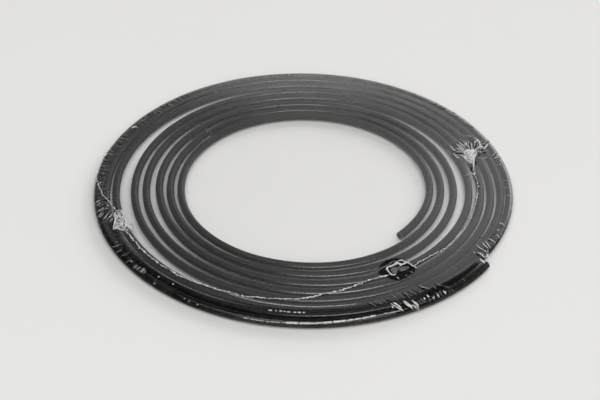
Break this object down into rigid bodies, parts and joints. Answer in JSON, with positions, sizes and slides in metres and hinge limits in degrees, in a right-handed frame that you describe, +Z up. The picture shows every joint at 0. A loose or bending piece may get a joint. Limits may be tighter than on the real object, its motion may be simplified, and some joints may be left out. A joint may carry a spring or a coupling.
{
  "type": "soaker hose",
  "caption": "Flat coil of thin black porous soaker hose with plain cut ends, sealed in a drum-tight clear shrink-film bag with a crinkled weld, gathered corners and a vent.",
  "frame": {"origin": "centre of the footprint, on the surface that the coil lies on", "axes": "+Z up, square to the flat coil; +X towards the right of the coil as it is seen from the side with the vent; +Y towards its back"},
  "size_m": [0.3802, 0.3772, 0.0113],
  "materials": {
    "hose_rubber": "matt black crumb rubber with a fine open-pored grain",
    "clear_film": "thin clear shrink film, glossy and drum tight, with fine pleats at its edge",
    "crumpled_film": "the same film melted or gathered until it whitens, with crinkled glints"
  },
  "bodies": {
    "root": {"hose_inner_length": "hose_rubber", "hose_outer_length": "hose_rubber", "film_bag": "clear_film", "film_seam_left": "crumpled_film", "film_seam_front": "crumpled_film", "film_seam_right": "crumpled_film", "vent_hole_rim": "crumpled_film", "left_corner_gather": "crumpled_film", "right_corner_gather": "crumpled_film"}
  },
  "joints": []
}
